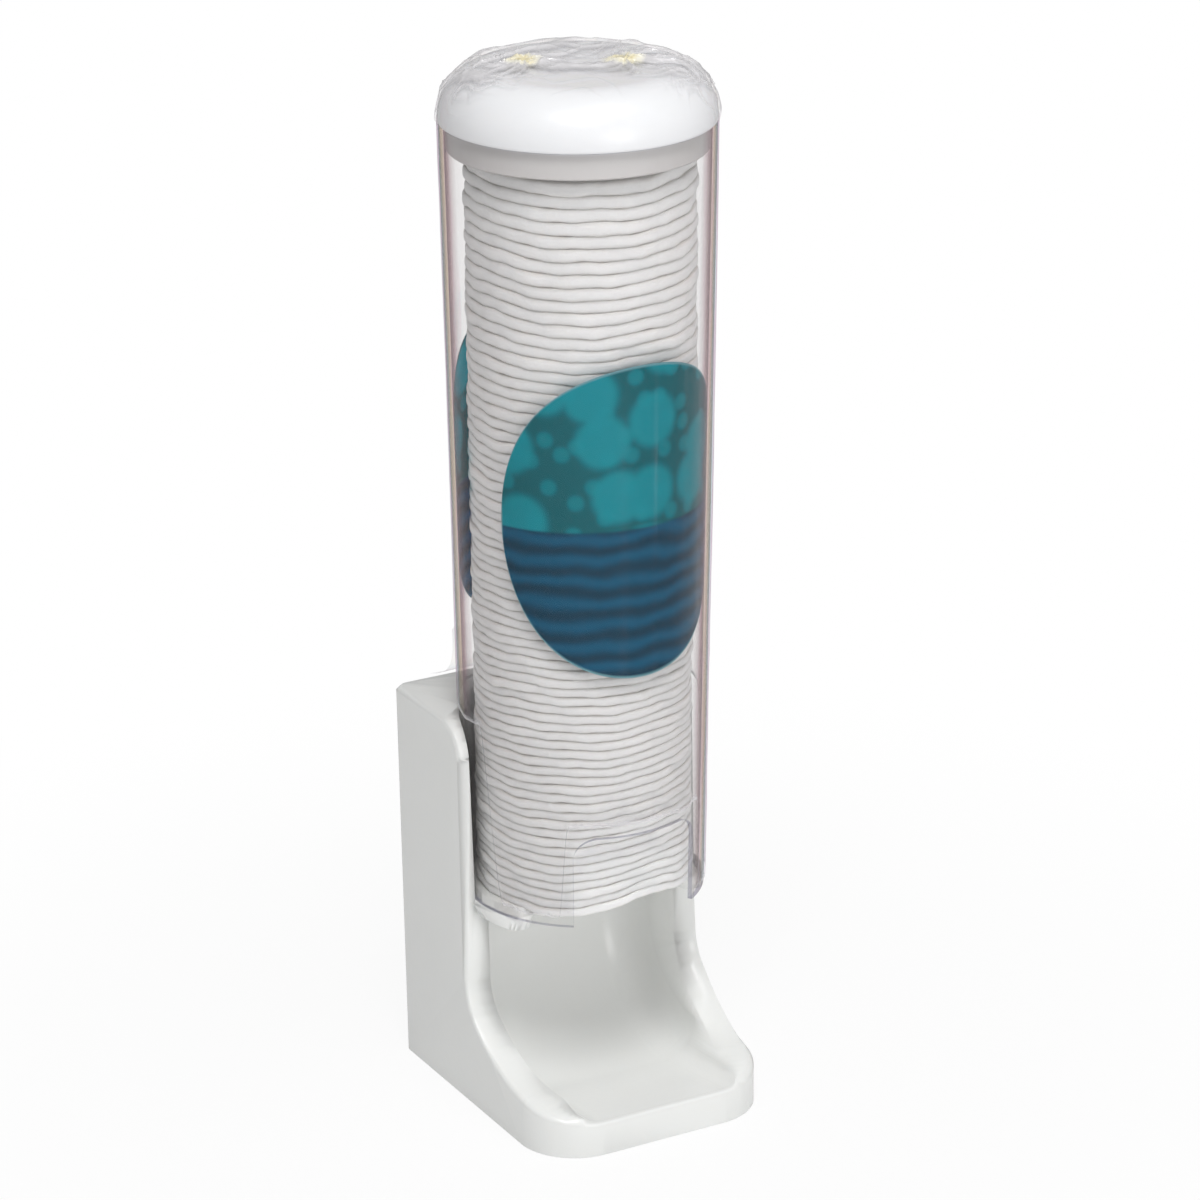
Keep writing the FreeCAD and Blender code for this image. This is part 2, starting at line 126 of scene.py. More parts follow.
def add(tree, kind, settings=None, inputs=None, stops=None):
    """Adds a node, sets its properties, fills or links its sockets and lays out its
    colour stops."""
    node = tree.nodes.new("ShaderNode" + kind)
    for key, value in (settings or {}).items():
        setattr(node, key, value)
    for key, value in (inputs or {}).items():
        if isinstance(value, bpy.types.NodeSocket):
            tree.links.new(value, node.inputs[key])
        else:
            node.inputs[key].default_value = value
    if stops:
        elements = node.color_ramp.elements
        while len(elements) < len(stops):
            elements.new(1.0)
        for element, (place, colour) in zip(elements, stops):
            element.position = place
            element.color = opaque(colour)
    return node


def object_place(tree):
    """Place on the piece, in metres."""
    return add(tree, "TexCoord").outputs["Object"]


def xyz(tree, place):
    """The three parts of a place."""
    return add(tree, "SeparateXYZ", inputs={"Vector": place}).outputs


def attribute(tree, name):
    """A number that the mesh carries at each point."""
    return add(tree, "Attribute", {"attribute_name": name}).outputs["Fac"]


def noise(tree, place, scale, detail, **more):
    """Noise from 0 to 1, with so many waves to a metre."""
    inputs = {"Vector": place, "Scale": scale, "Detail": detail, **more}
    return add(tree, "TexNoise", inputs=inputs).outputs["Fac"]


def maths(tree, operation, *values, clamp=False):
    """One step of arithmetic."""
    settings = {"operation": operation, "use_clamp": clamp}
    inputs = dict(enumerate(values))
    return add(tree, "Math", settings, inputs).outputs["Value"]


def ranged(tree, value, low, high, first=0.0, last=1.0, soft=False):
    """Carries a value from low..high over to first..last, eased at its ends if soft."""
    settings = {"interpolation_type": "SMOOTHSTEP" if soft else "LINEAR"}
    sockets = ("Value", "From Min", "From Max", "To Min", "To Max")
    inputs = dict(zip(sockets, (value, low, high, first, last)))
    return add(tree, "MapRange", settings, inputs).outputs["Result"]


def ramp(tree, value, *stops):
    """Colours laid out along a value."""
    node = add(tree, "ValToRGB", inputs={"Fac": value}, stops=stops)
    return node.outputs["Color"]


def blend(tree, share, first, second):
    """A share of the second colour over the first."""
    inputs = {0: share, 6: first, 7: second}
    return add(tree, "Mix", {"data_type": "RGBA"}, inputs).outputs[2]


def bump(tree, height, strength, distance):
    """The normal of a surface that a height roughens."""
    inputs = {"Strength": strength, "Distance": distance, "Height": height}
    return add(tree, "Bump", inputs=inputs).outputs["Normal"]


def facing(tree, normal=None):
    """How far the surface turns from the view: 0 face on, 1 edge on."""
    inputs = {"Blend": 0.5}
    if normal is not None:
        inputs["Normal"] = normal
    return add(tree, "LayerWeight", inputs=inputs).outputs["Facing"]


def mirrored_share(tree, normal, face_on, edge_on):
    """Share of the light that a clear skin mirrors: face_on + (edge_on - face_on)
    (1 - c)^5, where c is the cosine between the view and the normal."""
    steep = maths(tree, "POWER", facing(tree, normal), 5.0)
    return ranged(tree, steep, 0.0, 1.0, face_on, edge_on)


def bsdf(tree, kind, inputs):
    """A surface shader."""
    return add(tree, f"Bsdf{kind}", inputs=inputs).outputs["BSDF"]


def mix_shaders(tree, share, first, second):
    """A share of the second shader over the first."""
    inputs = {0: share, 1: first, 2: second}
    return add(tree, "MixShader", inputs=inputs).outputs["Shader"]


def new_material(name):
    """An empty node material and its tree."""
    material = bpy.data.materials.new(name)
    material.use_nodes = True
    material.node_tree.nodes.clear()
    return material, material.node_tree


def finished(material, surface):
    """The material, with a shader joined to its output."""
    add(material.node_tree, "OutputMaterial", inputs={"Surface": surface})
    return material


# ---------------------------------------- surfaces worked out with numpy


def round_axis(angle, radius, height):
    """Points at an angle round the tube's axis: x = r sin a, y = -r cos a, z = h."""
    angle, radius, height = np.broadcast_arrays(angle, radius, height)
    return np.stack([radius * np.sin(angle), -radius * np.cos(angle), height], axis=-1)


def round_angles(count):
    """So many angles, once round the axis."""
    return np.linspace(0, TURN, count, endpoint=False)[None, :]


def smooth_step(low, high, value):
    """0 below low, 1 above high, and 3t^2 - 2t^3 between them."""
    t = np.clip((value - low) / (high - low), 0, 1)
    return t * t * (3 - 2 * t)


def crumple(x, y, cell, seed, wrap=None):
    """Smooth noise from 0 to 1: random heights on a square lattice of the given cell,
    blended across each cell with 3t^2 - 2t^3. wrap is the number of cells after which x
    starts again."""
    size = 64
    lattice = np.random.default_rng(seed).random((size, size))
    u, v = np.asarray(x) / cell + 1000 * size, np.asarray(y) / cell + 1000 * size
    if wrap:
        u = np.mod(np.asarray(x) / cell, wrap)
    i, j = np.floor(u).astype(int), np.floor(v).astype(int)
    s, t = u - i, v - j
    s, t = s * s * (3 - 2 * s), t * t * (3 - 2 * t)
    period = wrap or size
    i0, i1 = np.mod(i, period) % size, np.mod(i + 1, period) % size
    j0, j1 = j % size, (j + 1) % size
    low = lattice[i0, j0] * (1 - s) + lattice[i1, j0] * s
    high = lattice[i0, j1] * (1 - s) + lattice[i1, j1] * s
    return low * (1 - t) + high * t


def creases(x, y, cell, seed, wrap=None):
    """Sharp-crested folds from 0 to 1: one minus twice the distance of the noise from a
    half."""
    return 1 - np.abs(2 * crumple(x, y, cell, seed, wrap) - 1)


def grid_quads(rows, columns, closed, inward):
    """Corner numbers of a grid's quads, row by row. A closed grid joins its last column
    to its first, and an inward one is wound the other way round."""
    i = np.arange(rows - 1)[:, None]
    j = np.arange(columns if closed else columns - 1)[None, :]
    k = (j + 1) % columns
    near, far = i * columns, (i + 1) * columns
    corners = np.broadcast_arrays(near + j, near + k, far + k, far + j)
    quads = np.stack(corners, axis=-1).reshape(-1, 4)
    return quads[:, ::-1] if inward else quads


def patch(points, closed=False, inward=False, tag=None):
    """A grid of points, how it is wound, and a number from 0 to 1 for each point."""
    tag = np.zeros(points.shape[:2]) if tag is None else tag
    return points, closed, inward, np.broadcast_to(tag, points.shape[:2])


def read_points(mesh):
    """The places of a mesh's points, in metres."""
    points = np.empty(len(mesh.vertices) * 3, np.float32)
    mesh.vertices.foreach_get("co", points)
    return points.reshape(-1, 3)


def carry(mesh, name, values):
    """Gives each point of a mesh a number that materials can read."""
    layer = mesh.attributes.new(name, "FLOAT", "POINT")
    layer.data.foreach_set("value", values.astype(np.float32))


def merge_points(mesh, distance):
    """Merges points that lie closer together than a distance in metres."""
    shell = bmesh.new()
    shell.from_mesh(mesh)
    bmesh.ops.remove_doubles(shell, verts=shell.verts, dist=distance)
    shell.to_mesh(mesh)
    shell.free()


def make_mesh(name, patches, tag_name=None):
    """Joins grids of points into one mesh in metres in the model's frame. Points that
    fall together, along seams and at poles, are merged, so the surface is closed there.
    """
    corners, quads, tags, first = [], [], [], 0
    for points, closed, inward, tag in patches:
        rows, columns = points.shape[:2]
        corners.append(points.reshape(-1, 3))
        tags.append(tag.reshape(-1))
        quads.append(grid_quads(rows, columns, closed, inward) + first)
        first += rows * columns
    corners = np.concatenate(corners) * MM + np.array([0, AXIS_Y, 0])
    quads = np.concatenate(quads)
    mesh = bpy.data.meshes.new(name)
    mesh.vertices.add(len(corners))
    mesh.vertices.foreach_set("co", corners.astype(np.float32).ravel())
    mesh.loops.add(quads.size)
    mesh.loops.foreach_set("vertex_index", quads.astype(np.int32).ravel())
    mesh.polygons.add(len(quads))
    starts = np.arange(0, quads.size, 4, dtype=np.int32)
    mesh.polygons.foreach_set("loop_start", starts)
    mesh.update(calc_edges=True)
    if tag_name:
        carry(mesh, tag_name, np.concatenate(tags))
    merge_points(mesh, 2e-6)
    mesh.validate()
    return mesh


def put(name, data):
    """A new object in the scene."""
    thing = bpy.data.objects.new(name, data)
    bpy.context.scene.collection.objects.link(thing)
    return thing


def make_piece(name, mesh, material, body, slot, nodes=(), crease=35):
    """A finished piece: smooth but for edges sharper than the crease, on its body."""
    piece = put(name, mesh)
    mesh.materials.clear()
    mesh.materials.append(material)
    mesh.shade_smooth()
    mesh.set_sharp_from_angle(angle=np.radians(crease))
    if nodes:
        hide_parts(*nodes)
    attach(piece, body)
    return piece


def bake_modifiers(piece):
    """Puts a piece's modifiers into its mesh."""
    graph = bpy.context.evaluated_depsgraph_get()
    mesh = bpy.data.meshes.new_from_object(piece.evaluated_get(graph))
    old = piece.data
    piece.modifiers.clear()
    piece.data = mesh
    bpy.data.meshes.remove(old)
    return mesh


# ---------------------------------------- materials


def moulded_polypropylene(name, colour, roughness, thin_under=None):
    """Polypropylene, injection moulded in a satin-polished tool. It is a waxy white
    that lets light a little way in, with broad soft highlights and a faint orange-peel
    from the tool. Below the height given last, where the lid's skirt stands inside the
    tube under its flange, it is painted greyer: a painted shade."""
    material, tree = new_material(name)
    place = object_place(tree)
    flow = noise(tree, place, 28.0, 2.0)
    shown = ramp(tree, flow, (0.3, dimmed(colour, 0.97)), (0.7, colour))
    # Painted shade: below that height the lid's skirt, inside the tube under the
    # flange, is greyed.
    if thin_under is not None:
        height = xyz(tree, place)["Z"]
        thin = ranged(tree, height, thin_under, thin_under - 0.001)
        shown = blend(tree, thin, shown, opaque("#D6D4D3"))
    # The tool's polish leaves waves about 2 mm apart, with a finer grain in them.
    peel = noise(tree, place, 480.0, 3.0)
    surface = bsdf(
        tree,
        "Principled",
        {
            "Base Color": shown,
            "Roughness": ranged(tree, flow, 0, 1, roughness - 0.03, roughness + 0.04),
            "IOR": 1.49,
            "Subsurface Weight": 0.18,
            "Subsurface Radius": (1.0, 0.95, 0.9),
            "Subsurface Scale": 0.002,
            "Normal": bump(tree, peel, 0.12, 0.0002),
        },
    )
    return finished(material, surface)


def clear_sheet_plastic():
    """Clear rigid PVC, extruded as a tube. Face on it nearly vanishes but for faint
    upright draw lines, and edge on it greys, partly for the longer way through the
    plastic and partly as painted shade along its edges, and mirrors the room."""
    material, tree = new_material("Clear extruded PVC")
    place = object_place(tree)
    # Draw lines run up the tube: the pattern is stretched along z.
    inputs = {"Vector": place, "Scale": (260.0, 260.0, 3.0)}
    squeezed = add(tree, "Mapping", inputs=inputs).outputs["Vector"]
    normal = bump(tree, noise(tree, squeezed, 1.0, 3.0), 0.25, 0.0002)
    # The grey that the tint takes on edge on is partly painted shade.
    tint = ramp(
        tree,
        facing(tree),
        (0.0, "#FFFFFF"),
        (0.62, "#FBFBFB"),
        (0.74, "#EDE9E9"),
        (0.84, "#D6CFCF"),
        (0.92, "#B9B1B1"),
        (1.0, "#7F7778"),
    )
    # Down in the foot the wall's left edge stands against white plastic and greys less:
    # a painted light over the shaded bore seen through it.
    x, _, z = xyz(tree, place)
    seated = ranged(tree, z, 0.112, 0.100, last=0.85)
    leftward = ranged(tree, x, -0.012, -0.020)
    painted_light_share = maths(tree, "MULTIPLY", seated, leftward)
    tint = blend(tree, painted_light_share, tint, opaque("#FCFCFC"))
    gloss = bsdf(
        tree,
        "Glossy",
        {"Color": opaque("#FFFFFF"), "Roughness": 0.07, "Normal": normal},
    )
    # A cut edge is seen through far more plastic than a wall.
    cut = attribute(tree, "cut")
    bare = blend(tree, cut, tint, opaque("#C4C3CF"))
    through = bsdf(tree, "Transparent", {"Color": bare})
    share = mirrored_share(tree, normal, 0.008, 0.55)
    share = maths(tree, "MULTIPLY_ADD", cut, 0.18, share, clamp=True)
    return finished(material, mix_shaders(tree, share, through, gloss))


def shrink_film(name, tension, rainbow_share, melted=()):
    """Polyolefin shrink film, heat drawn over the parts. It is a fine clear skin that
    hardly shows where it is tight, takes a painted shade along its gathered folds and
    painted reflection streaks where its mesh marks them, and plays faintly in pink,
    yellow and cyan where it is seen edge on. Where the sealing bar pinched it, it is
    cream."""
    material, tree = new_material(name)
    place = object_place(tree)
    # Slack between the folds, in waves of 3 mm up to 10 mm.
    normal = bump(tree, noise(tree, place, tension, 2.0, Distortion=0.4), 0.3, 0.0005)
    # The colours of a film a few hundred nanometres thick, in the order they turn up.
    rainbow = ramp(
        tree,
        facing(tree, normal),
        (0.0, "#FFFFFF"),
        (0.58, "#FFFEFE"),
        (0.68, "#FDF1F5"),
        (0.76, "#FDF8EA"),
        (0.83, "#EAF5F8"),
        (0.90, "#F7E8F3"),
        (1.0, "#D8D0D8"),
    )
    play = blend(tree, rainbow_share, opaque("#FFFFFF"), rainbow)
    through = bsdf(tree, "Transparent", {"Color": play})
    sheen = mirrored_share(tree, normal, 0.006, 0.5)
    # Painted shade: the folds show the grey skin, as shade in the creases; on the
    # sleeve the same mark carries painted reflection streaks and its gathered edge.
    fold_shade_and_streaks = ranged(tree, attribute(tree, "fold"), 0.08, 0.9, last=0.75, soft=True)
    share = maths(tree, "ADD", sheen, fold_shade_and_streaks, clamp=True)
    colour = opaque("#DEDCDF")
    if melted:
        glow = 0.0
        for x, y, z, reach in melted:
            inputs = {0: place, 1: (x * MM, y * MM + AXIS_Y, z * MM)}
            away = add(tree, "VectorMath", {"operation": "DISTANCE"}, inputs)
            away = away.outputs["Value"]
            near = ranged(tree, away, reach * MM, 0.35 * reach * MM)
            glow = maths(tree, "MAXIMUM", glow, near)
        # Lumps of about 1.5 mm in the melt.
        patchy = maths(tree, "MULTIPLY", glow, noise(tree, place, 650.0, 3.0))
        colour = ramp(
            tree,
            patchy,
            (0.0, "#E2E0E2"),
            (0.2, "#F0EDE0"),
            (0.45, "#EFE6C6"),
            (0.7, "#D9CB9C"),
        )
        share = maths(tree, "MULTIPLY_ADD", patchy, 1.5, share, clamp=True)
    skin = bsdf(
        tree,
        "Principled",
        {"Base Color": colour, "Roughness": 0.14, "IOR": 1.5, "Normal": normal},
    )
    return finished(material, mix_shaders(tree, share, through, skin))


def pressed_cotton(colour, groove_shade):
    """Carded cotton, pressed and punched into discs. It is a matt, warm white with a
    soft bloom of fibres, and a painted shade greys it where two discs meet and little
    light gets in."""
    material, tree = new_material("Pressed carded cotton")
    place = object_place(tree)
    # Tufts of fibre about 1.5 mm apart; single fibres of 0.02 mm are too fine to show.
    tufts = noise(tree, place, 650.0, 4.0)
    drift = maths(tree, "MULTIPLY_ADD", noise(tree, place, 60.0, 2.0), 0.5, -0.25)
    # Painted shade where two pads meet, with a random drift of tone.
    shade_and_tone = maths(tree, "ADD", attribute(tree, "groove_shade"), drift, clamp=True)
    surface = bsdf(
        tree,
        "Principled",
        {
            "Base Color": ramp(tree, shade_and_tone, (0.2, colour), (0.9, groove_shade)),
            "Roughness": 0.95,
            "Specular IOR Level": 0.15,
            "Sheen Weight": 0.2,
            "Sheen Roughness": 0.6,
            "Subsurface Weight": 0.8,
            "Subsurface Radius": (1.0, 0.97, 0.94),
            "Subsurface Scale": 0.003,
            "Normal": bump(tree, tufts, 0.55, 0.0004),
        },
    )
    return finished(material, surface)


def printed_film(name, aqua, deep, seed, seen):
    """Polyester label film, printed in two inks: pebbles of light in an aqua half above
    a rippled dark blue half, with the film's own milky edge round the print."""
    material, tree = new_material(name)
    height = xyz(tree, object_place(tree))["Z"]
    # The label laid flat: along the tube's girth and up it, both in centimetres.
    inputs = {"X": attribute(tree, "across"), "Y": height}
    flat = add(tree, "CombineXYZ", inputs=inputs).outputs["Vector"]
    inputs = {"Vector": flat, "Location": (seed, seed, 0.0), "Scale": (1.0, 100.0, 1.0)}
    ruler = add(tree, "Mapping", inputs=inputs).outputs["Vector"]
    # Pebbles of light 15 mm and 7 mm across, soft at their edges.
    upper = opaque(dimmed(aqua, 0.42))
    for spacing, low, high, light in (
        (0.55, 0.47, 0.30, 0.85),
        (1.25, 0.34, 0.18, 0.55),
    ):
        pebbles = add(
            tree,
            "TexVoronoi",
            {"feature": "F1", "voronoi_dimensions": "2D"},
            {"Vector": ruler, "Scale": spacing, "Randomness": 0.8},
        ).outputs["Distance"]
        discs = ranged(tree, pebbles, low, high, last=light, soft=True)
        upper = blend(tree, discs, upper, opaque(aqua))
    # Ripples about 5 mm apart, bent by slow noise.
    ripples = add(
        tree,
        "TexWave",
        {"wave_type": "BANDS", "bands_direction": "Y"},
        {
            "Vector": ruler,
            "Scale": 0.55,
            "Distortion": 3.0,
            "Detail": 2.0,
            "Detail Scale": 1.2,
        },
    ).outputs["Fac"]
    lower = blend(tree, ripples, opaque(deep), opaque(dimmed(deep, 0.42)))
    split = ranged(tree, height, WATERLINE, WATERLINE + WATERLINE_BAND, soft=True)
    inks = blend(tree, split, lower, upper)
    colour = blend(tree, attribute(tree, "rim"), inks, opaque("#7FB4BE"))
    ink = bsdf(
        tree,
        "Principled",
        {"Base Color": colour, "Roughness": 0.35, "Specular IOR Level": 0.2},
    )
    # Light from behind comes through the film in the ink's own colour.
    glow = bsdf(tree, "Translucent", {"Color": colour})
    return finished(material, mix_shaders(tree, seen, ink, glow))


def white_floor(whiteness):
    """Matt white paper. The camera sees it as white, also through clear plastic, less
    so close to the object, where the paper's own light keeps the object's shadow."""
    material, tree = new_material("Matt white paper")
    inputs = {0: object_place(tree)}
    away = add(tree, "VectorMath", {"operation": "LENGTH"}, inputs)
    far = ranged(tree, away.outputs["Value"], 0.08, 0.30, whiteness, 1.0, soft=True)
    seen = add(tree, "LightPath").outputs["Is Camera Ray"]
    share = maths(tree, "MULTIPLY", seen, far)
    paper = bsdf(tree, "Diffuse", {"Color": opaque("#F4F4F4")})
    inputs = {"Color": opaque("#FFFFFF"), "Strength": 1.0}
    white = add(tree, "Emission", inputs=inputs).outputs["Emission"]
    return finished(material, mix_shaders(tree, share, paper, white))


# ---------------------------------------- settings a user would change


def colour_setting(default, name, description):
    """A colour to pick, with its default as a hex code."""
    return FloatVectorProperty(
        name=name,
        description=description,
        subtype="COLOR",
        size=3,
        min=0,
        max=1,
        default=srgb(default),
    )


def number(default, low, high, name, description, **kind):
    """A number to change, between two limits."""
    return FloatProperty(
        name=name, description=description, default=default, min=low, max=high, **kind
    )


def length(default, low, high, name, description, precision=2):
    """A length to change, in metres, between two limits."""
    return number(
        default, low, high, name, description, unit="LENGTH", precision=precision
    )


class HolderSettings(bpy.types.PropertyGroup):
    """The moulded foot."""

    colour: colour_setting("#F2F3F1", "Colour", "Colour of the foot's plastic")
    soft_edge: number(
        float(np.radians(48)), 0, float(np.pi), "Soft edge",
        "Edges flatter than this shade as rounded ones", subtype="ANGLE",
    )
    broken_edge: length(
        0.0014, 0.0002, 0.004, "Broken edge",
        "Width of the band that breaks the foot's outer edges", precision=4,
    )
    front_corner: length(
        0.016, 0.002, 0.03, "Front corner", "Radius of the tray's two front corners"
    )
    scoop_half: length(
        0.02775, 0.01, 0.05, "Scoop half width",
        "Half the width of the scoop where it leaves the throat", precision=5,
    )
    narrowing: number(
        0.10, 0.0, 0.5, "Narrowing",
        "Share of its width that the scoop loses towards the front", subtype="FACTOR",
    )
    lean: length(
        0.0012, 0.0, 0.002, "Lean",
        "How far each side wall leans out above the tray", precision=4,
    )


class LidSettings(bpy.types.PropertyGroup):
    """The push-in lid."""

    colour: colour_setting("#F1F2F4", "Colour", "Colour of the lid's plastic")
    shoulder_width: length(
        0.012, 0.002, 0.03, "Shoulder width",
        "How far in from the rim the round shoulder reaches",
    )
    shoulder_height: length(
        0.0126, 0.002, 0.03, "Shoulder height",
        "How far down from the top the round shoulder reaches",
    )
    wall: length(0.0015, 0.0005, 0.004, "Wall", "Thickness of the lid's roof")
    plug_radius: length(
        0.03284, 0.01, 0.06, "Plug radius",
        "Outside radius of the skirt that pushes into the tube", precision=5,
    )
    plug_wall: length(0.0012, 0.0005, 0.004, "Plug wall", "Thickness of the skirt")


class TubeSettings(bpy.types.PropertyGroup):
    """The clear tube."""

    foot_radius: length(
        0.03117, 0.01, 0.06, "Foot radius",
        "Outside radius at the tube's foot", precision=5,
    )
    top_radius: length(
        0.0345, 0.01, 0.06, "Top radius",
        "Outside radius at the tube's top", precision=5,
    )
    wall: length(0.0013, 0.0004, 0.004, "Wall", "Thickness of the tube")
    notch_half: length(
        0.0175, 0.005, 0.03, "Half notch", "Half the width of the notch for fingers"
    )
    notch_top: length(0.082, 0.06, 0.12, "Notch top", "Height of the notch's top edge")
    notch_corner: length(
        0.006, 0.001, 0.015, "Notch corner", "Radius of the notch's corners"
    )


class PadSettings(bpy.types.PropertyGroup):
    """The stack of cotton pads."""

    colour: colour_setting("#FCFAF8", "Colour", "Colour of the cotton")
    # Painted shade: this colour stands for the shade where two pads meet.
    groove_shade_colour: colour_setting(
        "#E0DDDA", "Groove colour", "Colour of the cotton where two pads meet"
    )
    radius: length(0.0284, 0.01, 0.06, "Radius", "Radius of a pad", precision=4)
    wave: length(
        0.0006, 0.0, 0.003, "Wave",
        "How far a pad's edge waves up and down", precision=5,
    )
    push: length(
        0.0028, 0.0, 0.006, "Push",
        "How far the lowest pad's front is pushed up over the notch", precision=4,
    )
    crown: length(
        0.0035, 0.0, 0.01, "Crown",
        "Height of the topmost pad's middle above its edge", precision=4,
    )
    softness: length(
        0.00055, 0.0001, 0.005, "Softness", "Width of a pad's rounded edge", precision=5
    )


class LabelSettings(bpy.types.PropertyGroup):
    """The two printed labels."""

    aqua: colour_setting(
        "#00AEBE", "Upper ink", "Lightest colour of the print's upper half"
    )
    deep: colour_setting(
        "#00688F", "Lower ink", "Lightest colour of the print's lower half"
    )
    middle: length(
        0.166, 0.1, 0.25, "Middle", "Height of the labels' middle", precision=4
    )
    height: length(0.0824, 0.02, 0.15, "Height", "Height of a label", precision=4)
    reach: FloatProperty(
        name="Reach",
        description="Angle from a label's middle to its end",
        default=float(np.radians(67.8)), subtype="ANGLE",
    )


class FilmSettings(bpy.types.PropertyGroup):
    """The shrink film."""

    stand_off: length(
        0.0003, 0.0001, 0.002, "Stand-off",
        "How far the film stands off what it covers", precision=5,
    )
    crumple: length(
        0.0012, 0.0, 0.005, "Crumple", "Height of the folds over the lid", precision=5
    )


class StageSettings(bpy.types.PropertyGroup):
    """Floor, light and camera."""

    key: number(13.9, 0, 200, "Key light", "Power of the main lamp")
    fill: number(0.34, 0, 5, "Room light", "Strength of the light from all round")
    whiteness: number(
        0.90, 0, 1, "Floor whiteness",
        "How much of the floor's white doesn't take the object's shadow",
        subtype="FACTOR",
    )
    lens: number(
        139.515, 10, 500, "Lens",
        "Focal length on a 36 mm wide sensor", subtype="DISTANCE_CAMERA",
    )


# ---------------------------------------- shapes


def tube_radius(sizes, height):
    """Outside radius of the tube at a height: a straight taper from foot to top."""
    low, high = TUBE_LOW.z / MM, TUBE_HIGH.z / MM
    rise = (np.asarray(height) - low) / (high - low)
    return (sizes.foot_radius + (sizes.top_radius - sizes.foot_radius) * rise) / MM


def lid_profile(sizes):
    """(radius, height) round the lid's section: from the middle of its ceiling out,
    down inside the skirt, up its outside, out under the flange, up the rim and over a
    quarter ellipse, r = a + w cos t, z = b + h sin t, to the middle of the top."""
    top, rim_foot = LID_HIGH.z / MM, TUBE_HIGH.z / MM
    rim = (LID_HIGH.x - LID_LOW.x) / 2 / MM
    width, height = sizes.shoulder_width / MM, sizes.shoulder_height / MM
    wall, plug = sizes.wall / MM, sizes.plug_radius / MM
    hollow = plug - sizes.plug_wall / MM
    foot, bevel, start = LID_LOW.z / MM, 0.4, rim - width
    t = np.linspace(0, TURN / 4, 26)

    def quarter(across, up, level):
        """A quarter ellipse of two half-axes, from the shoulder's start to a level."""
        points = [start + across * np.cos(t), level - up + up * np.sin(t)]
        return np.stack(points, axis=-1)

    shoulder = quarter(width, height, top)
    inner = quarter(hollow - start, 7.0, top - wall)[::-1]
    skirt = [
        [hollow, foot + bevel],
        [hollow + bevel, foot],
        [plug - bevel, foot],
        [plug, foot + bevel],
        [plug, rim_foot],
    ]
    edge = [[rim - 0.5, 0], [rim - 0.15, 0.12], [rim, 0.45]] + np.array([0, rim_foot])
    ceiling = [[0.0, top - wall], [11.0, top - wall]]
    crown = [[16.0, top], [8.0, top], [0.0, top]]
    return np.concatenate([ceiling, inner, skirt, edge, shoulder, crown])


def notch_edge(sizes, radius):
    """Half the notch's top edge as (angle, height): up a quarter circle at the corner,
    then level to the middle."""
    half, top = sizes.notch_half / MM, sizes.notch_top / MM
    corner = sizes.notch_corner / MM
    t = np.linspace(0, TURN / 4, 13)
    x = half - corner + corner * np.cos(t)
    z = top - corner + corner * np.sin(t)
    x = np.concatenate([x, np.linspace(half - corner, 0, 12)[1:]])
    z = np.concatenate([z, np.full(11, top)])
    return np.arcsin(x / radius), z


def tube_patches(sizes):
    """The tube: for each wall a grid above the notch's corners, whose lowest row
    follows the notch's edge, and a strip below it that stops at the notch's sides,
    joined by their rims. The rims' cut faces are tagged 1."""
    low, high = TUBE_LOW.z / MM, TUBE_HIGH.z / MM
    wall = sizes.wall / MM
    angles, edge = notch_edge(sizes, sizes.foot_radius / MM)
    shelf = edge[0]
    side = angles[0]
    rest = np.linspace(side, TURN - side, 130)
    # Round from the notch's middle, over its right corner, round the back and in again.
    angle = np.concatenate([angles[::-1], rest[1:-1], TURN - angles])[:-1]
    lowest = np.concatenate([edge[::-1], np.full(len(rest) - 2, shelf), edge])[:-1]
    rise = np.linspace(0, 1, 60)[:, None]
    upper = lowest + (high - lowest) * rise
    strip = low + (shelf - low) * np.linspace(0, 1, 8)[:, None]
    patches = []
    for inset, inward in ((0.0, False), (wall, True)):
        for turn, height, closed in ((angle, upper, True), (rest, strip, False)):
            points = round_axis(turn, tube_radius(sizes, height) - inset, height)
            patches.append(patch(points, closed, inward))

    def rim(turn, height, closed, inward):
        """A flat rim between the two walls along a line of angles and heights."""
        across = np.array([0, 0.08, 0.5, 0.92, 1])[:, None] * wall
        points = round_axis(turn, tube_radius(sizes, height) - across, height)
        return patch(points, closed, inward, np.array([0.0, 1, 1, 1, 0])[:, None])

    patches.append(rim(angle, np.full(len(angle), high), True, False))
    patches.append(rim(rest, np.full(len(rest), low), False, True))
    # Up the notch's right side, over its top and down its left side.
    climb = strip[:, 0]
    up, down = np.full(len(climb), side), np.full(len(climb) - 1, -side)
    turn = np.concatenate([up, angles[1:], -angles[::-1][1:], down])
    height = np.concatenate([climb, edge[1:], edge[::-1][1:], climb[::-1][1:]])
    patches.append(rim(turn, height, False, False))
    return patches


def label_outline(radius, height, reach):
    """Half-height of a label at an angle: a circular arc in the view from the front, so
    h = sqrt(d (2c - d)), with d the depth seen from the label's end and c the arc's
    radius."""
    depth = radius * (1 - np.cos(reach))
    arc = ((height / 2) ** 2 + depth**2) / (2 * depth)

    def half(angle):
        d = radius * (np.cos(angle) - np.cos(reach))
        return np.sqrt(np.maximum(d * (2 * arc - d), 0))

    return half


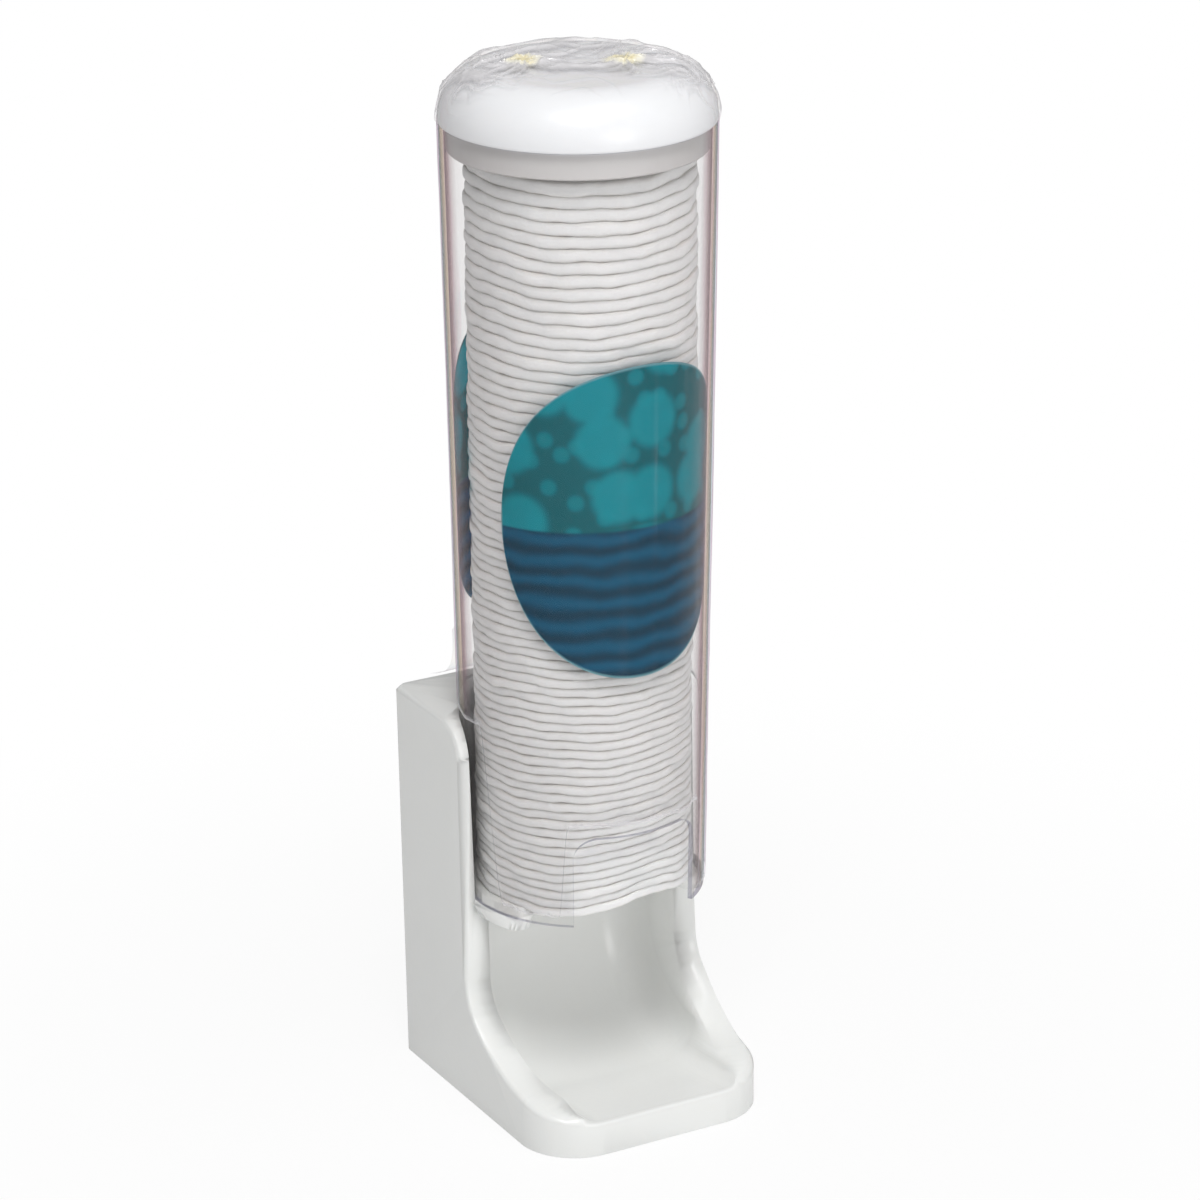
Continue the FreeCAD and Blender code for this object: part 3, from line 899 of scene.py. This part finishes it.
def label_patches(tube, labels, turn):
    """A label in the tube: angle = reach sin(u pi/2), height = middle + v h(angle), as
    an outer and an inner skin whose edges are joined."""
    middle, height, reach = labels.middle / MM, labels.height / MM, labels.reach
    bore = tube.wall / MM
    mean = float(tube_radius(tube, middle)) - bore
    half = label_outline(mean, height, reach)
    u = np.linspace(-1, 1, 97)[None, :]
    v = np.sin(np.linspace(-1, 1, 49) * TURN / 4)[:, None]
    angle = reach * np.sin(u * TURN / 4)
    z = middle + v * half(angle)
    room = tube_radius(tube, z) - bore - LABEL_GAP
    outer = round_axis(angle + turn, room, z)
    inner = round_axis(angle + turn, room - LABEL_FILM, z)
    edge = np.stack([outer[-1], inner[-1]])
    foot = np.stack([inner[0], outer[0]])
    return [patch(outer), patch(inner, inward=True), patch(edge), patch(foot)]


def label_mesh(name, tube, labels, turn):
    """The label's mesh, with where each point lies along the girth in centimetres, and
    how near it is to the label's edge, as attributes for the print."""
    mesh = make_mesh(name, label_patches(tube, labels, turn))
    points = read_points(mesh) / MM - np.array([0, AXIS_Y / MM, 0])
    turned = np.arctan2(points[:, 0], -points[:, 1]) - turn
    turned = (turned + TURN / 2) % TURN - TURN / 2
    middle, height, reach = labels.middle / MM, labels.height / MM, labels.reach
    mean = float(tube_radius(tube, middle)) - tube.wall / MM
    half = label_outline(mean, height, reach)
    room = half(turned) - np.abs(points[:, 2] - middle)
    sideways = mean * (reach - np.abs(turned))
    rim = smooth_step(0.55, 0.25, np.minimum(room * 0.9, sideways * 1.2))
    carry(mesh, "across", turned * mean * 0.1)
    carry(mesh, "rim", rim)
    return mesh


def pad_heights(low, high, count):
    """Feet and tops of a group's pads, shared out evenly between its own foot and top.
    The upper pads lie looser, z + loft step(z), so that the stack comes nearer to the
    lid's plug."""
    edges = np.linspace(low, high, count + 1)
    edges = edges + LOFT * smooth_step(LOFT_FROM, LOFT_TO, edges)
    return edges[:-1], edges[1:]


def pad_patches(pads, first, feet, tops, crown=0.0):
    """Soft discs: a profile that is flat inside and rounded at the edge,
    r = R - s + s c(t), z = m + h s(t), carried round, with waves that grow with the
    square of the radius and change little from one pad to the next, so that neighbours
    nest. Above the notch the stack's front is pushed up, less from pad to pad, and the
    topmost pad is crowned."""
    angle = round_angles(128)[None]
    number = (first + np.arange(len(feet)))[:, None, None].astype(float)
    middle = ((feet + tops) / 2)[:, None, None]
    rng = np.random.default_rng(7)
    loose = rng.random((MOST_PADS, 6))[first : first + len(feet)][:, :, None, None]
    half = ((tops - feet) / 2)[:, None, None] * (0.98 + 0.02 * loose[:, 0])
    radius, soft = pads.radius / MM, pads.softness / MM
    t = np.radians(np.array([-90, -62, -40, -14, 14, 40, 62, 90]))
    blunt = 0.8
    round_out = np.cos(t) ** blunt
    round_up = np.sign(t) * np.abs(np.sin(t)) ** blunt
    flat = np.array([0.0, 0.3, 0.6, 0.8, 0.93])
    none, full = np.zeros(len(flat)), np.ones(len(flat))
    share = np.concatenate([flat, np.ones(8), flat[::-1]])[None, :, None]
    out = np.concatenate([none, round_out, none])[None, :, None]
    up = np.concatenate([-full, round_up, full])[None, :, None]
    ragged = 1 - 0.006 * (
        np.sin(3 * angle + 6.3 * loose[:, 1])
        + np.sin(7 * angle + 6.3 * loose[:, 2])
        + 0.6 * np.sin(19 * angle + 6.3 * loose[:, 3])
        + 2.6
    )
    r = (radius * ragged - soft) * share + soft * out
    wave = pads.wave / MM * (
        0.8 * np.sin(2 * angle + number / 13.0)
        + 0.55 * np.sin(3 * angle - number / 9.0 + 1.0)
        + 0.35 * np.sin(5 * angle + number / 5.0 + 2.0)
        + 0.22 * np.sin(9 * angle - number / 3.5)
        + 0.16 * np.sin(17 * angle + number * 0.9)
        + 0.12 * np.sin(31 * angle + number * 2.1)
    )
    fall = (r / radius) ** 2
    turned = np.mod(angle + TURN / 2, TURN) - TURN / 2
    pressed = ((turned - 0.12) / 0.42) ** 2
    push = pads.push / MM * np.exp(-pressed - (number - 1) / 9.0)
    z = middle + half * up * (1 - 0.05 * (share > 0.9) * np.cos(11 * angle + number))
    z = z + (wave + push * fall) * fall
    topmost = (number == first + len(feet) - 1) * (up >= 0)
    z = z + crown * topmost * (1 - fall) * (1 - out)
    # Higher up the discs are less squeezed by the wall and stand a little to the right.
    freed = smooth_step(105, 190, middle)
    points = round_axis(angle + 0 * r, r * (1 + 0.035 * freed), z)
    points[..., 0] += 0.25 * (loose[:, 4] - 0.5) + 0.7 * freed
    # Where a pad's edge rounds over towards the next: the mask for the painted shade in
    # the groove.
    groove_shade = np.clip(np.abs(up) * (out > 0), 0, 1) ** 2 * np.ones_like(r)
    return [patch(p, closed=True, tag=g) for p, g in zip(points, groove_shade)]


def cap_patches(lid, film):
    """The film over the lid: the lid's own profile, stood off and lifted along folds.
    Folds run out from each melted lump like rays, f = ridge(n a / 2 pi + noise), with a
    the angle about the lump, and are highest on the side that faces away from the other
    lump."""
    top, rim_foot = LID_HIGH.z / MM, TUBE_HIGH.z / MM
    rim = (LID_HIGH.x - LID_LOW.x) / 2 / MM
    width, height = lid.shoulder_width / MM, lid.shoulder_height / MM
    off = film.stand_off / MM
    angle = round_angles(720)
    t = np.linspace(0, TURN / 4, 56)
    flat = np.linspace(rim - width, 0, 72)[1:]
    radius = np.concatenate([[rim], rim - width + width * np.cos(t), flat])[:, None]
    climb = top - height + height * np.sin(t)
    level = np.concatenate([[rim_foot + 0.65], climb, np.full(71, top)])[:, None]
    out = np.concatenate([[1], np.cos(t), np.zeros(71)])[:, None]
    up = np.concatenate([[0], np.sin(t), np.ones(71)])[:, None]
    # Laid flat, so that a fold runs on down the shoulder.
    spread = radius + 0.9 * (top - level)
    x, y = spread * np.sin(angle), -spread * np.cos(angle)
    lumps = np.array([lump[:2] for lump in MELTED])
    along = (lumps[0] - lumps[1]) / np.linalg.norm(lumps[0] - lumps[1])
    folds, weights = 0.0, 1e-9
    for centre, away in zip(lumps, (along, -along)):
        dx, dy = x - centre[0], y - centre[1]
        far = np.hypot(dx, dy) + 1e-6
        bend = 0.35 * (crumple(x, y, 9.0, 61) - 0.5) * smooth_step(0, 25, far)
        turns = np.arctan2(dy, dx) / TURN + 0.5 + bend
        rays = (
            0.9 * creases(turns * 17, far / 10.0, 1.0, 62, 17) ** 2.5
            + 0.5 * creases(turns * 38, far / 6.0, 1.0, 63, 38) ** 3
        )
        facing = np.clip((dx * away[0] + dy * away[1]) / far, 0, 1)
        reach = 11.0 + 26.0 * facing**1.3
        height_here = rays * np.exp(-((far / reach) ** 2)) * smooth_step(0, 4, far)
        weight = 1 / far**3
        folds, weights = folds + weight * height_here, weights + weight
    folds = folds / weights
    between = np.exp(-((x * along[1] - y * along[0] + 3.9) ** 2) / 16.0)
    between = 0.8 * between * creases(x, y, 4.4, 64) ** 2
    folds = folds + between * smooth_step(24, 8, spread)
    back = 0.8 * smooth_step(-4, 14, y) * smooth_step(33, 22, spread)
    folds = folds + back * creases(0.5 * x + 0.3 * y, y - 0.4 * x, 5.5, 65) ** 2.5
    folds = folds + 0.25 * creases(x, y, 6.0, 66) ** 5 * smooth_step(36, 26, spread)
    lumpy = sum(
        np.exp(-((x - cx) ** 2 + (y - cy) ** 2) / (0.45 * reach) ** 2)
        for cx, cy, _, reach in MELTED
    )
    lift = film.crumple / MM * folds + lumpy * (0.3 + 1.1 * creases(x, y, 1.3, 31))
    points = round_axis(angle, radius + out * (off + lift), level + up * (off + lift))
    # A torn flap stands up beside the right-hand lump: a leaf that narrows to its tip.
    u = np.linspace(-1, 1, 15)[None, :]
    v = np.linspace(0, 1, 17)[:, None]
    leaf = np.stack(
        [
            13.0 + 1.9 * u * (1 - v**1.5) + 0.8 * v,
            2.6 - 1.1 * u * (1 - v**1.5) + 0.5 * v**2 + 0.3 * np.sin(7 * u),
            top + off + 3.4 * v + 0.2 * np.sin(9 * u + 5 * v),
        ],
        axis=-1,
    )
    return [
        patch(points, closed=True, tag=np.clip(folds, 0, 1)),
        patch(leaf, tag=0.42 + 0.22 * np.sin(9 * u + 4 * v)),
    ]


def sleeve_patches(tube, film):
    """The film round the tube: the tube's own taper, stood off, with slow upright
    waves. Its lower edge steps over the notch in front and over the foot behind."""
    off = film.stand_off / MM
    angle = np.linspace(-TURN / 2, TURN / 2, 480, endpoint=False)[None, :]
    away = np.degrees(np.abs(angle))
    low = 84.5 - 25.0 * smooth_step(36, 41, away) + 48.0 * smooth_step(70, 84, away)
    low = low + 1.2 * crumple((angle + TURN / 2) * 7, 0 * angle, 1.0, 44, 44)
    high = TUBE_HIGH.z / MM + 0.55
    z = low + (high - low) * np.linspace(0, 1, 110)[:, None]
    turns = (angle + TURN / 2) / TURN
    waves = (
        0.50 * crumple(turns * 18, z / 55, 1.0, 41, 18)
        + 0.30 * crumple(turns * 40, z / 34, 1.0, 42, 40)
        + 0.20 * creases(turns * 60, z / 22, 1.0, 43, 60)
    )
    r = tube_radius(tube, z) + off * (0.3 + 2.0 * waves)
    # Painted reflection streaks run up the film, milky, and its free lower edge is
    # gathered.
    degrees, stray = np.degrees(angle), 2 * crumple(z / 60, 0 * z, 1.0, 46)
    reflection_streaks = sum(
        strength * np.exp(-(((degrees - place - stray) / wide) ** 2))
        for place, wide, strength in REFLECTION_STREAKS
    )
    reflection_streaks = reflection_streaks * (0.55 + 0.45 * crumple(turns * 60, z / 30, 1.0, 47, 60))
    free = 0.35 + 0.5 * creases(turns * 90, z / 4, 1.0, 45, 90)
    tag = reflection_streaks + smooth_step(2.2, 0, z - low) * free
    return [patch(round_axis(angle, r, z), closed=True, tag=tag)]


def web_patches():
    """The film stretched from the foot's back edge to the tube: straight threads
    between two lines, sagging inwards by the sine of the way across."""
    u = np.linspace(0, 1, 30)[None, :, None]
    v = np.linspace(0, 1, 30)[:, None, None]
    # Along the foot's top edge, from near its back left corner to its middle.
    foot = np.array(WEB_LEFT) * (1 - u) + np.array(WEB_RIGHT) * u
    turn = np.radians(180 + 60 - 60 * u[..., 0])
    tube = round_axis(turn, WEB_RADIUS, WEB_TOP - WEB_FALL * u[..., 0])
    points = foot * (1 - v) + tube * v
    sag = np.sin(TURN / 2 * v[..., 0]) * WEB_SAG
    points = points + np.stack([0.3 * sag, -0.9 * sag, -0.9 * sag], axis=-1)
    flutter = crumple(u[..., 0] * 9 + 0 * v[..., 0], v[..., 0] * 3, 1.0, 51)
    return [patch(points + 0.25 * flutter[..., None])]


# ---------------------------------------- operators


def ease_foot(mesh, foot):
    """Finishes the moulded foot's skin with shifts that change smoothly across it. Its
    sides lean out, x + lean step(z), the rim's broken edge narrows by 0.6 of its band,
    and the scoop narrows towards the front, x (1 - n step(-y))."""
    points = read_points(mesh).astype(float)
    x, y, z = ((points - np.array([0, AXIS_Y, 0])) / MM).T
    side, away = np.sign(x), np.abs(x)
    half, band = HOLDER_HIGH.x / MM, foot.broken_edge / MM
    crease, corner = foot.scoop_half / MM, foot.front_corner / MM
    lip = (HOLDER_LOW.y - AXIS_Y) / MM
    inner, bore, shelf, wing_front = half - band, half - 1.3, 53.9, 1.2
    # Everything that faces down, and the bore the tube stands in, stays where it is.
    fixed = (np.hypot(x, y) < bore) & (z > shelf) & (y > wing_front)
    for face in mesh.polygons:
        if face.normal.z < -0.15:
            fixed[list(face.vertices)] = True
    # Distance in from the foot's outline, and share of the way out across the rim.
    inward = corner - np.hypot(
        np.maximum(away - half + corner, 0), np.maximum(lip + corner - y, 0)
    )
    outer = np.clip((away - crease) / (inner - crease), 0, 1)
    narrow = foot.narrowing * smooth_step(6, -36, y) * smooth_step(2, 12, y - lip)
    narrow = narrow * smooth_step(1.6, 4.0, inward)
    tip = np.where(away > inner, np.clip((half - away) / band, 0, 1), outer)
    sharp = 0.6 * band * smooth_step(-27, -15, y) * smooth_step(30, 20, y)
    lean = foot.lean / MM * smooth_step(0, 28, z) * smooth_step(-32, -4, y)
    shift = side * (tip * sharp + outer * lean) - x * narrow * (1 - outer)
    points[:, 0] += MM * np.where(fixed, 0, shift)
    mesh.vertices.foreach_set("co", points.ravel())
    mesh.update()


class DISPENSER_OT_holder(bpy.types.Operator):
    """Build the moulded foot from its solid's skin, eased and shaded round its edges"""

    bl_idname = "dispenser.holder"
    bl_label = "Holder"

    def execute(self, context):
        settings = context.scene.dispenser_holder
        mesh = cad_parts["holder"].data.copy()
        mesh.name = "holder_body"
        merge_points(mesh, 1e-5)
        ease_foot(mesh, settings)
        material = moulded_polypropylene(
            "Moulded polypropylene, satin white", settings.colour, 0.2
        )
        crease = np.degrees(settings.soft_edge)
        names = ("holder", "white_moulding", ["holder"])
        piece = make_piece("holder_body", mesh, material, *names, crease)
        # Broad faces keep their own flat shading, and the narrow ones between turn it.
        even = piece.modifiers.new("Even", "WEIGHTED_NORMAL")
        even.mode = "FACE_AREA"
        even.weight = 100
        even.keep_sharp = True
        bake_modifiers(piece)
        return {"FINISHED"}


class DISPENSER_OT_lid(bpy.types.Operator):
    """Build the push-in lid as one turned profile"""

    bl_idname = "dispenser.lid"
    bl_label = "Lid"

    def execute(self, context):
        settings = context.scene.dispenser_lid
        profile = lid_profile(settings)
        points = round_axis(round_angles(192), profile[:, :1], profile[:, 1:])
        material = moulded_polypropylene(
            "Moulded polypropylene, gloss white", settings.colour, 0.28, TUBE_HIGH.z
        )
        mesh = make_mesh("lid_body", [patch(points, closed=True)])
        make_piece("lid_body", mesh, material, "lid", "white_lid", ["lid"])
        return {"FINISHED"}


class DISPENSER_OT_tube(bpy.types.Operator):
    """Build the clear tube with its notch"""

    bl_idname = "dispenser.tube"
    bl_label = "Tube"

    def execute(self, context):
        patches = tube_patches(context.scene.dispenser_tube)
        mesh = make_mesh("tube_body", patches, "cut")
        plastic = clear_sheet_plastic()
        make_piece("tube_body", mesh, plastic, "tube", "clear_plastic", ["tube"])
        return {"FINISHED"}


class DISPENSER_OT_labels(bpy.types.Operator):
    """Build the printed labels inside the tube's front and back"""

    bl_idname = "dispenser.labels"
    bl_label = "Labels"

    def execute(self, context):
        tube, labels = context.scene.dispenser_tube, context.scene.dispenser_labels
        # The back one is seen from behind, with the light coming through its ink.
        for side, turn, seed, seen, painted_brightness in (
            ("front", 0.0, 3.7, 0.3, 0.92),
            ("back", TURN / 2, 9.1, 0.6, 1.9),
        ):
            # Each print's inks are scaled by a painted brightness: the back's are
            # painted lighter, a painted light for the light that comes through it, and
            # the front's a little darker.
            aqua, deep = (
                tuple(min(0.9, c) for c in dimmed(ink, painted_brightness))
                for ink in (labels.aqua, labels.deep)
            )
            name = f"{side}_print"
            mesh = label_mesh(name, tube, labels, turn)
            title = f"Printed polyester film, {side}"
            material = printed_film(title, aqua, deep, seed, seen)
            make_piece(name, mesh, material, "tube", f"{side}_film", [f"{side}_label"])
        return {"FINISHED"}


class DISPENSER_OT_pads(bpy.types.Operator):
    """Build the stack of pads, four to a piece, and the lowest pad on its own"""

    bl_idname = "dispenser.pads"
    bl_label = "Pads"

    def execute(self, context):
        pads = context.scene.dispenser_pads
        cotton = pressed_cotton(pads.colour, pads.groove_shade_colour)
        for node in ["bottom_pad", *PAD_NODES]:
            low, high = (corner.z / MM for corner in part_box(node))
            if node == "bottom_pad":
                first, count, body = 1, 1, "lowest_pad"
            else:
                first, last = (int(part) for part in node.split("_")[1::2])
                count, body = last - first + 1, "holder"
            feet, tops = pad_heights(low, high, count)
            name = node.replace("pads", "cotton").replace("bottom_pad", "cotton_01")
            crown = pads.crown / MM * (node == PAD_NODES[-1])
            patches = pad_patches(pads, first, feet, tops, crown)
            mesh = make_mesh(name, patches, "groove_shade")
            piece = make_piece(name, mesh, cotton, body, "cotton", [node], 70)
        return {"FINISHED"}


class DISPENSER_OT_film(bpy.types.Operator):
    """Build the shrink film over the lid, round the tube and behind the foot"""

    bl_idname = "dispenser.film"
    bl_label = "Film"

    def execute(self, context):
        scene = context.scene
        tube, film = scene.dispenser_tube, scene.dispenser_film
        gathered = shrink_film("Shrink film, gathered", 300.0, 0.25, MELTED)
        clear = shrink_film("Shrink film, drawn tight", 100.0, 1.0)
        for name, patches, material, body in (
            ("film_cap", cap_patches(scene.dispenser_lid, film), gathered, "lid"),
            ("film_sleeve", sleeve_patches(tube, film), clear, "tube"),
            ("film_web", web_patches(), gathered, "holder"),
        ):
            mesh = make_mesh(name, patches, "fold")
            make_piece(name, mesh, material, body, "clear_plastic", crease=70)
        return {"FINISHED"}


class DISPENSER_OT_stage(bpy.types.Operator):
    """Set up the floor, the lamps, the white room and the camera"""

    bl_idname = "dispenser.stage"
    bl_label = "Stage"

    def execute(self, context):
        scene = context.scene
        stage = scene.dispenser_stage
        scene.view_settings.view_transform = "Standard"
        self.floor(stage)
        self.room(scene, stage)
        self.lamps(stage)
        self.camera(scene, stage)
        return {"FINISHED"}

    def floor(self, stage):
        """A level square of paper, six metres a side."""
        side = np.linspace(-3.0, 3.0, 7)
        x, y = np.meshgrid(side, side)
        points = np.stack([x, y, 0 * x - 0.0002], axis=-1).reshape(-1, 3)
        quads = grid_quads(7, 7, False, False)
        mesh = bpy.data.meshes.new("floor")
        mesh.from_pydata(points.tolist(), [], quads.tolist())
        mesh.materials.append(white_floor(stage.whiteness))
        put("floor", mesh)

    def room(self, scene, stage):
        """White to the camera, also through clear plastic; a softer white as light."""
        world = bpy.data.worlds.new("White room")
        world.use_nodes = True
        scene.world = world
        tree = world.node_tree
        tree.nodes.clear()
        seen = add(tree, "LightPath").outputs["Is Camera Ray"]
        strength = ranged(tree, seen, 0.0, 1.0, stage.fill, 1.0)
        inputs = {"Color": opaque("#FFFFFF"), "Strength": strength}
        white = add(tree, "Background", inputs=inputs).outputs["Background"]
        add(tree, "OutputWorld", inputs={"Surface": white})

    def lamps(self, stage):
        """A soft box over the camera, with weaker ones in front and high overhead."""
        for name, place, share in LAMPS:
            lamp = bpy.data.lights.new(name, "AREA")
            lamp.shape = "RECTANGLE"
            lamp.size = lamp.size_y = LAMP_SIDE
            lamp.energy = stage.key * share
            stand = put(name, lamp)
            stand.location = place
            stand.rotation_mode = "QUATERNION"
            aim = LAMP_AIM - Vector(place)
            stand.rotation_quaternion = aim.to_track_quat("-Z", "Y")

    def camera(self, scene, stage):
        """Stands in front and to the left of the object and looks down at it by 21
        degrees."""
        data = bpy.data.cameras.new("camera")
        data.sensor_width = 36.0
        data.lens = stage.lens
        data.clip_start, data.clip_end = 0.05, 20.0
        camera = put("camera", data)
        right = Vector((0.87207, -0.48934, -0.00663))
        up = Vector((0.17954, 0.30731, 0.93452))
        back = -Vector((0.45526, 0.81615, -0.35585))
        turn = Matrix((right, up, back)).transposed().to_4x4()
        stand = Matrix.Translation((-0.53695, -0.97102, 0.55794))
        camera.matrix_world = stand @ turn
        scene.camera = camera


class DISPENSER_PT_panel(bpy.types.Panel):
    """Lists the dispenser's pieces and their settings"""

    bl_idname = "DISPENSER_PT_panel"
    bl_label = "Cotton pad dispenser"
    bl_space_type = "VIEW_3D"
    bl_region_type = "UI"
    bl_category = "Dispenser"

    def draw(self, context):
        for operator, name, _ in PIECES:
            box = self.layout.box()
            box.operator(operator.bl_idname)
            group = getattr(context.scene, name)
            for key in group.bl_rna.properties.keys():
                if key not in ("rna_type", "name"):
                    box.prop(group, key)


PIECES = (
    (DISPENSER_OT_stage, "dispenser_stage", StageSettings),
    (DISPENSER_OT_holder, "dispenser_holder", HolderSettings),
    (DISPENSER_OT_lid, "dispenser_lid", LidSettings),
    (DISPENSER_OT_tube, "dispenser_tube", TubeSettings),
    (DISPENSER_OT_labels, "dispenser_labels", LabelSettings),
    (DISPENSER_OT_pads, "dispenser_pads", PadSettings),
    (DISPENSER_OT_film, "dispenser_film", FilmSettings),
)


def register():
    """Registers the settings, the operators and the panel."""
    for operator, name, settings in PIECES:
        bpy.utils.register_class(settings)
        setattr(bpy.types.Scene, name, PointerProperty(type=settings))
        bpy.utils.register_class(operator)
    bpy.utils.register_class(DISPENSER_PT_panel)


def unregister():
    """Takes them away again, last first."""
    bpy.utils.unregister_class(DISPENSER_PT_panel)
    for operator, name, settings in reversed(PIECES):
        bpy.utils.unregister_class(operator)
        delattr(bpy.types.Scene, name)
        bpy.utils.unregister_class(settings)


def main():
    """Builds every piece in order."""
    register()
    for operator, *_ in PIECES:
        module, call = operator.bl_idname.split(".")
        getattr(getattr(bpy.ops, module), call)()


if __name__ == "__main__":
    main()
